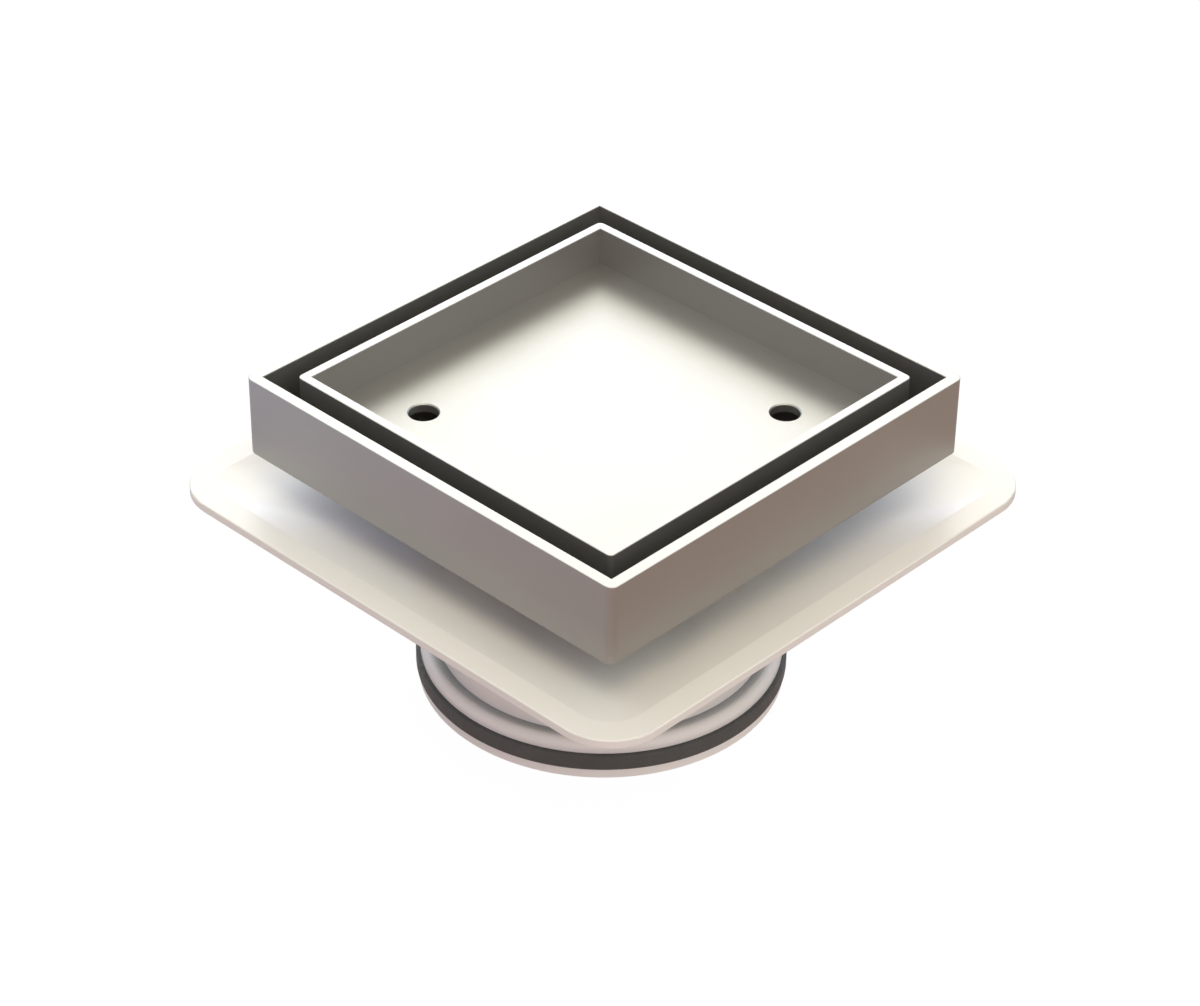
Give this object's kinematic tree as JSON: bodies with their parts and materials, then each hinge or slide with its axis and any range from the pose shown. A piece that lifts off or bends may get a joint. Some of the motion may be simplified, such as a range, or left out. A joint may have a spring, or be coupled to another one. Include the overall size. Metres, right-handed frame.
{
  "type": "tile insert floor drain",
  "caption": "Square stainless floor drain: a tray for a cut tile in a frame with a water slot all round, over a plastic membrane flange with a rubber pipe seal.",
  "frame": {"origin": "centre of the spigot's lower end, the ring that the part stands on", "axes": "+Z along the outlet's axis up to the finished floor, X and Y square to the frame's sides; the lifting holes lie on the diagonal from -X -Y to +X +Y"},
  "size_m": [0.1266, 0.1266, 0.072],
  "materials": {
    "stainless": "satin, fine blasted grain",
    "tube_steel": "mill finish",
    "moulding": "warm white, softly glossy",
    "seal": "matt black with fine turned lines"
  },
  "bodies": {
    "root": {"tile_tray": "stainless", "tray_foot_front_left": "tube_steel", "tray_foot_front_right": "tube_steel", "tray_foot_back_left": "tube_steel", "tray_foot_back_right": "tube_steel", "surround_frame": "stainless", "outlet_tube": "tube_steel", "membrane_flange": "moulding", "pipe_seal": "seal"}
  },
  "joints": []
}
